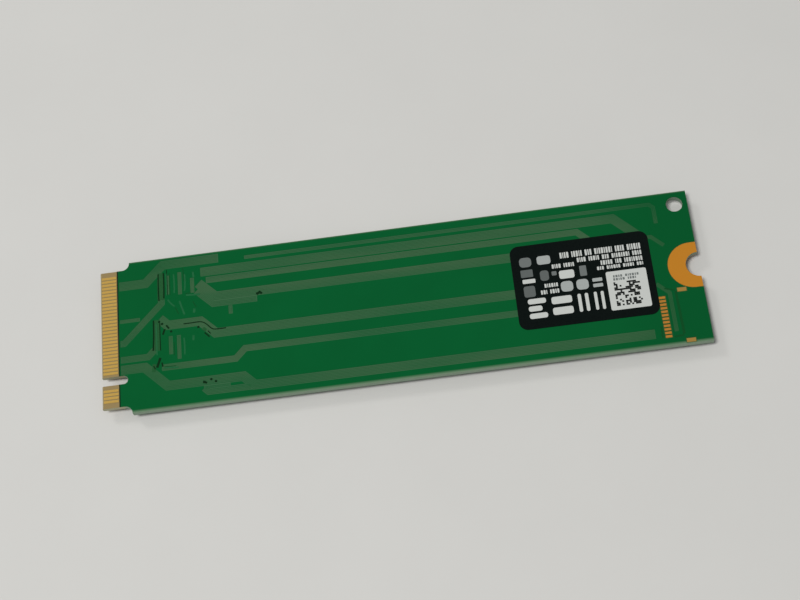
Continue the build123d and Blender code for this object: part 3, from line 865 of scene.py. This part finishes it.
@dataclass
class Label:
    """The black label: its film, and a generic print of bars, blocks, rows of ticks and a code field."""

    film_edge: float = 0.02
    ink_thickness: float = 0.006
    code_count: int = 14
    code_share: float = 0.43
    code_seed: int = 7
    code_gap: float = 0.01
    tick_widths: tuple[float, ...] = (0.24, 0.16, 0.28, 0.2, 0.12, 0.26)
    tick_gap: float = 0.1
    tick_radius: float = 0.05
    word_ticks: tuple[int, ...] = (6, 4, 8, 3, 5)
    word_gap: float = 0.3
    field: Mark = Mark(12.15, 1.2, 17.45, 6.8, 0.25)
    code: Mark = Mark(12.95, 1.75, 16.4, 5.2, 0.02)
    head_lines: tuple[TextLine, ...] = (
        TextLine(6.05, 0.35, 12.95, 16.4),
        TextLine(5.6, 0.35, 12.95, 16.0),
    )
    lines: tuple[TextLine, ...] = (
        TextLine(10.05, 0.85, 6.25, 17.25),
        TextLine(9.1, 0.65, 8.55, 17.25),
        TextLine(8.25, 0.65, 11.15, 17.25),
        TextLine(7.5, 0.5, 11.05, 17.25),
        TextLine(8.6, 0.6, 5.15, 8.25),
        TextLine(5.95, 0.55, 3.75, 5.75),
        TextLine(5.05, 0.6, 3.1, 5.8),
    )

    def blocks(self) -> dict[Ink, list[Mark]]:
        """List the plain bars and blocks beside the code field.

        Returns:
            The shapes in each ink.
        """
        return {
            Ink.WHITE: [
                Mark(1.2, 6.6, 2.9, 7.2), Mark(6.1, 6.65, 8.1, 7.85, 0.3),
                Mark(1.5, 3.55, 3.9, 4.3, 0.3), Mark(1.5, 2.5, 3.3, 3.25, 0.3),
                Mark(1.5, 1.45, 3.9, 2.2, 0.3), Mark(4.6, 3.15, 7.3, 4.2, 0.3),
                Mark(4.6, 1.6, 7.3, 2.65, 0.3), Mark(8.05, 1.6, 8.5, 4.2, 0.2),
                Mark(9.0, 1.6, 9.45, 4.2, 0.2), Mark(10.2, 1.6, 10.6, 4.2, 0.18),
                Mark(11.1, 1.6, 11.5, 4.2, 0.18),
            ],
            Ink.PALE: [
                Mark(3.45, 9.1, 5.25, 10.35, 0.35),
                Mark(6.1, 4.75, 7.7, 6.25, 0.5), Mark(8.15, 4.75, 9.75, 6.25, 0.5),
                Mark(10.3, 5.65, 11.6, 6.15), Mark(10.3, 4.85, 11.6, 5.35),
            ],
            Ink.GREY: [
                Mark(1.1, 9.0, 2.7, 10.4, 0.5), Mark(8.85, 6.7, 9.75, 8.2), Mark(5.15, 7.3, 5.8, 7.9),
            ],
            Ink.DIM: [
                Mark(1.1, 7.5, 2.7, 8.6), Mark(3.6, 6.7, 4.75, 8.2, 0.4), Mark(1.2, 4.6, 2.7, 6.2, 0.3),
            ],
        }

    def print_piece(self, name: str, ink: Ink, marks: Iterable[Mark], level: int) -> None:
        """Make one coat of print.

        Args:
            name: The piece's name.
            ink: Its ink.
            marks: The shapes in it.
            level: How many coats of ink lie below it.
        """
        low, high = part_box("rear_label")
        corner = Vector((low.x, low.y, high.z + level * self.ink_thickness * MM))
        mesh = bmesh.new()
        for mark in marks:
            add_plate(mesh, corner + Vector((mark.left, mark.lower, 0.0)) * MM,
                      corner + Vector((mark.right, mark.upper, self.ink_thickness)) * MM, mark.radius)
        make_piece(name, mesh, ink.finish())

    def ticks(self, lines: Iterable[TextLine]) -> list[Mark]:
        """Draw lines of print as rows of upright ticks, spaced as words, from each line's end.

        Args:
            lines: The lines.

        Returns:
            The ticks.
        """
        marks = []
        for number, line in enumerate(lines):
            lower = line.middle - line.height / 2
            upper = line.middle + line.height / 2
            right = line.end
            word = number
            left_in_word = self.word_ticks[word % len(self.word_ticks)]
            while right - line.start > max(self.tick_widths):
                width = self.tick_widths[len(marks) % len(self.tick_widths)]
                marks.append(Mark(right - width, lower, right, upper, self.tick_radius))
                right -= width + self.tick_gap
                left_in_word -= 1
                if left_in_word == 0:
                    right -= self.word_gap
                    word += 1
                    left_in_word = self.word_ticks[word % len(self.word_ticks)]
        return marks

    def modules(self) -> list[Mark]:
        """Draw the dark runs of the code block by chance, from a fixed seed.

        Returns:
            The runs, row by row.
        """
        draw = random.Random(self.code_seed)
        pitch = (self.code.right - self.code.left) / self.code_count
        marks = []
        for row in range(self.code_count):
            dark = [draw.random() < self.code_share for _ in range(self.code_count)]
            start = 0
            for is_dark, run in groupby(dark):
                end = start + len(list(run))
                if is_dark:
                    lower = self.code.lower + row * pitch
                    marks.append(Mark(self.code.left + start * pitch, lower, self.code.left + end * pitch,
                                      lower + pitch - self.code_gap, self.code.radius))
                start = end
        return marks

    def build(self) -> None:
        """Make the film and its print."""
        soften("rear_label", "label_film", LABEL_FILM, self.film_edge)
        for ink, marks in self.blocks().items():
            self.print_piece(f"label_blocks_{ink.name.lower()}", ink, marks, 0)
        self.print_piece("label_small_print", Ink.WHITE, self.ticks(self.lines), 0)
        self.print_piece("label_code_field", Ink.WHITE, [self.field], 0)
        self.print_piece("label_code_head", Ink.GREY, self.ticks(self.head_lines), 1)
        self.print_piece("label_code_modules", Ink.BLACK, self.modules(), 1)


@dataclass
class BallGridPackages:
    """The controller and the flash memory: moulded packages on round solder balls."""

    body_edge: float = 0.06
    mark_radius: float = 0.4
    mark_inset: float = 1.1
    mark_depth: float = 0.06
    mark_steps: int = 32
    ball_radius: float = 0.23
    ball_neck: float = 0.16
    ball_shoulder_share: float = 0.93
    ball_steps: int = 14
    names: tuple[str, ...] = (
        "controller", "flash_memory_1", "flash_memory_2", "flash_memory_3", "flash_memory_4",
    )

    def build(self) -> None:
        """Make each package and the balls that it stands off the board by."""
        for name in self.names:
            mesh = solid_copy(name)
            round_edges(mesh, self.body_edge)
            self.sink_mark(mesh, *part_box(name))
            make_piece(f"{name}_package", mesh, MOULD_COMPOUND, [name])
            self.build_balls(f"{name}_solder_balls", f"{name}_ball_rows")

    def sink_mark(self, mesh: BMesh, low: Vector, high: Vector) -> None:
        """Sink the round mark of the first contact into a package's lower face.

        Args:
            mesh: The package.
            low: Its lowest corner.
            high: Its highest corner.
        """
        lower = [face for face in mesh.faces if face.calc_center_median().z < low.z + WELD_DISTANCE]
        face = max(lower, key=lambda face: face.calc_area())
        edges = face.edges[:]
        bmesh.ops.delete(mesh, geom=[face], context="FACES_ONLY")
        inset = self.mark_inset * MM
        centre = Matrix.Translation((low.x + inset, high.y - inset, low.z))
        mouth = bmesh.ops.create_circle(mesh, segments=self.mark_steps, radius=self.mark_radius * MM,
                                        matrix=centre)
        rim = list(dict.fromkeys(edge for vert in mouth["verts"] for edge in vert.link_edges))
        bmesh.ops.triangle_fill(mesh, edges=edges + rim, use_beauty=True)
        sunk = bmesh.ops.extrude_edge_only(mesh, edges=rim)["geom"]
        bottom = [item for item in sunk if isinstance(item, bmesh.types.BMVert)]
        bmesh.ops.translate(mesh, vec=(0.0, 0.0, self.mark_depth * MM), verts=bottom)
        bmesh.ops.edgeloop_fill(mesh, edges=[item for item in sunk if isinstance(item, bmesh.types.BMEdge)])

    def build_balls(self, node: str, name: str) -> None:
        """Make one package's solder balls.

        Args:
            node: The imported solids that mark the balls' places.
            name: The new piece's name.
        """
        boxes = solid_boxes(node)
        height = (boxes[0][1].z - boxes[0][0].z) / MM
        shoulder = self.ball_radius * self.ball_shoulder_share
        ball = turned([(self.ball_neck, height / 2), (shoulder, height / 4), (self.ball_radius, 0.0),
                       (shoulder, -height / 4), (self.ball_neck, -height / 2)], self.ball_steps)
        mesh = bmesh.new()
        for low, high in boxes:
            add_copy(mesh, ball, Matrix.Translation((low + high) / 2))
        ball.free()
        make_piece(name, mesh, SOLDER, [node])


@dataclass
class SmallParts:
    """The small parts below the board: leaded chips, inductors, crystal, fuse, capacitors and resistors."""

    chip_edge: float = 0.03
    joint_edge: float = 0.015
    inductor_edge: float = 0.12
    lid_edge: float = 0.05
    ceramic_edge: float = 0.03
    end_edge: float = 0.04
    round_segments: int = 3
    fillet_reach: float = 0.14
    fillet_share: float = 0.55
    fillet_toe: float = 0.2

    # Bodies and plated ends of each kind of end-plated chip
    chips: tuple[tuple[str, str, Finish, str], ...] = (
        ("input_fuse", "input_fuse_ends", FUSE_CERAMIC, "fuse_ceramic"),
        ("bulk_capacitors", "bulk_capacitor_ends", CAPACITOR_CERAMIC, "capacitor_ceramic"),
        ("reservoir_capacitors", "reservoir_capacitor_ends", CAPACITOR_CERAMIC, "capacitor_ceramic"),
        ("decoupling_capacitors", "decoupling_capacitor_ends", CAPACITOR_CERAMIC, "capacitor_ceramic"),
        ("coupling_capacitors", "coupling_capacitor_ends", CAPACITOR_CERAMIC, "capacitor_ceramic"),
        ("chip_resistors", "chip_resistor_ends", RESISTOR_CERAMIC, "resistor_ceramic"),
    )

    def build(self) -> None:
        """Make every small part."""
        for name in ("power_chip", "load_switch", "temperature_sensor"):
            soften(name, f"{name}_body", CHIP_COMPOUND, self.chip_edge)
            soften(f"{name}_solder_joints", f"{name}_joints", SOLDER, self.joint_edge)
        for number in (1, 2, 3):
            soften(f"power_inductor_{number}", f"power_inductor_{number}_body", INDUCTOR_BODY,
                   self.inductor_edge, self.round_segments)
        soften("inductor_terminals", "inductor_terminal_plates", SOLDER, self.joint_edge)
        soften("crystal_pads", "crystal_joints", SOLDER, self.joint_edge)
        soften("crystal_base", "crystal_ceramic_base", CRYSTAL_CERAMIC, self.chip_edge)
        soften("crystal_lid", "crystal_welded_lid", NICKEL, self.lid_edge,
               self.round_segments)
        for bodies, ends, finish, slot in self.chips:
            soften(bodies, f"{bodies}_ceramic", finish, self.ceramic_edge)
            soften(ends, f"{ends}_plating", SOLDER, self.end_edge)
            self.build_fillets(bodies, ends)

    def build_fillets(self, bodies: str, ends: str) -> None:
        """Make the solder fillets that climb the outer faces of the plated ends.

        Args:
            bodies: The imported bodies, which tell the outer face of an end from its inner one.
            ends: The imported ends.
        """
        middles = [(low + high) / 2 for low, high in solid_boxes(bodies)]
        mesh = bmesh.new()
        for low, high in solid_boxes(ends):
            centre = (low + high) / 2
            outward = centre - min(middles, key=lambda middle: (middle - centre).length)
            size = high - low
            along, across = (0, 1) if abs(outward.x) > abs(outward.y) else (1, 0)
            heading = Vector((0.0, 0.0, 0.0))
            heading[along] = math.copysign(1.0, outward[along])
            foot = Vector((centre.x, centre.y, high.z)) + heading * size[along] / 2
            self.add_fillet(mesh, foot, heading, size[across], size.z * self.fillet_share)
        make_piece(f"{ends}_fillets", mesh, SOLDER)

    def add_fillet(self, mesh: BMesh, foot: Vector, heading: Vector, width: float, height: float) -> None:
        """Add one fillet: a block that slopes from an end's face down to a thin toe on the board.

        Args:
            mesh: The mesh that takes it.
            foot: The middle of the edge where the end's outer face meets the board.
            heading: The direction from the end outwards.
            width: The end's width.
            height: How far the solder climbs.
        """
        block = bmesh.new()
        bmesh.ops.create_cube(block, size=1.0)
        for vert in block.verts:
            if vert.co.x > 0 and vert.co.z < 0:
                vert.co.z = 0.5 - self.fillet_toe
        turn = Vector((1, 0, 0)).rotation_difference(heading).to_matrix().to_4x4()
        reach = self.fillet_reach * MM
        size = Matrix.Diagonal((reach, width, height, 1.0))
        place = Matrix.Translation(foot + heading * reach / 2 - Vector((0, 0, height / 2)))
        add_copy(mesh, block, place @ turn @ size)
        block.free()


class Lamp(NamedTuple):
    """A round softbox: its name, its place and its width in millimetres, and its power in watts."""

    name: str
    place: tuple[float, float, float]
    size: float
    power: float


@dataclass
class Studio:
    """The table, the soft light and the camera."""

    table_size: float = 4000.0
    world_colour: str = "#F2F3F4"
    world_strength: float = 0.3
    backdrop_strength: float = 0.66
    lamp_target: tuple[float, float, float] = (-20.0, 0.0, 0.0)
    lamps: tuple[Lamp, ...] = (
        Lamp("softbox", (-214.0, -190.0, 800.0), 260.0, 5.15),
        Lamp("far_softbox", (-435.0, 435.0, 543.0), 180.0, 1.0),
    )
    lens: float = 69.21
    sensor: float = 36.0
    clip_start: float = 10.0
    camera_target: tuple[float, float, float] = (0.36, 0.28, 2.0)
    camera_distance: float = 203.99
    camera_azimuth: float = 6.362
    camera_elevation: float = 65.04
    camera_roll: float = -13.082

    def build(self) -> None:
        """Lay the table, light it and set up the camera."""
        scene = bpy.context.scene
        scene.view_settings.view_transform = "Standard"
        self.build_table()
        self.build_light()
        self.build_camera()

    def build_table(self) -> None:
        """Lay the plain pale table that the drive lies on."""
        mesh = bmesh.new()
        bmesh.ops.create_grid(mesh, x_segments=1, y_segments=1, size=self.table_size * MM / 2)
        data = bpy.data.meshes.new("table_top")
        mesh.to_mesh(data)
        mesh.free()
        data.materials.append(TABLE_TOP.material())
        table = bpy.data.objects.new("table_top", data)
        bpy.context.scene.collection.objects.link(table)

    def build_light(self) -> None:
        """Light the drive from all round, and more from the softboxes."""
        world = bpy.data.worlds.new("studio")
        world.use_nodes = True
        tree = world.node_tree
        ray = add_node(tree, "LightPath", {}).outputs
        seen = add_node(tree, "Math", {"operation": "ADD", 0: ray["Is Camera Ray"],
                                       1: ray["Is Glossy Ray"]})
        shown = add_node(tree, "Math", {"operation": "ADD", "use_clamp": True, 0: seen,
                                        1: ray["Is Transmission Ray"]})
        strength = add_node(tree, "MapRange", {"Value": shown, "To Min": self.world_strength,
                                               "To Max": self.backdrop_strength})
        set_node(tree, tree.nodes["Background"], {"Color": linear(self.world_colour), "Strength": strength})
        bpy.context.scene.world = world
        for lamp in self.lamps:
            self.hang(lamp)

    def hang(self, lamp: Lamp) -> None:
        """Hang one softbox, aimed at the drive and too soft to show in its gloss.

        Args:
            lamp: The softbox.
        """
        light = bpy.data.lights.new(lamp.name, "AREA")
        light.shape = "DISK"
        light.size = lamp.size * MM
        light.energy = lamp.power
        softbox = bpy.data.objects.new(lamp.name, light)
        softbox.location = Vector(lamp.place) * MM
        aim = Vector(self.lamp_target) * MM - softbox.location
        softbox.rotation_mode = "QUATERNION"
        softbox.rotation_quaternion = aim.to_track_quat("-Z", "Y")
        softbox.visible_glossy = False
        bpy.context.scene.collection.objects.link(softbox)

    def build_camera(self) -> None:
        """Set the camera where the photograph was taken from."""
        azimuth = math.radians(self.camera_azimuth)
        elevation = math.radians(self.camera_elevation)
        back = Vector((math.sin(azimuth) * math.cos(elevation), -math.cos(azimuth) * math.cos(elevation),
                       math.sin(elevation)))
        data = bpy.data.cameras.new("camera")
        data.lens = self.lens
        data.sensor_width = self.sensor
        data.clip_start = self.clip_start * MM
        camera = bpy.data.objects.new("camera", data)
        camera.location = Vector(self.camera_target) * MM + back * self.camera_distance * MM
        camera.rotation_mode = "QUATERNION"
        roll = Quaternion((0, 0, 1), math.radians(self.camera_roll))
        camera.rotation_quaternion = back.to_track_quat("Z", "Y") @ roll
        bpy.context.scene.collection.objects.link(camera)
        bpy.context.scene.camera = camera


def main() -> None:
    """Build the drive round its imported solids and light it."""
    logging.basicConfig(level=logging.INFO, format="%(name)s: %(message)s")
    board = Board()
    board.build()
    board.dress()
    for assembly in (BareCopper(), Label(), BallGridPackages(), SmallParts(), Studio()):
        assembly.build()


if __name__ == "__main__":
    main()
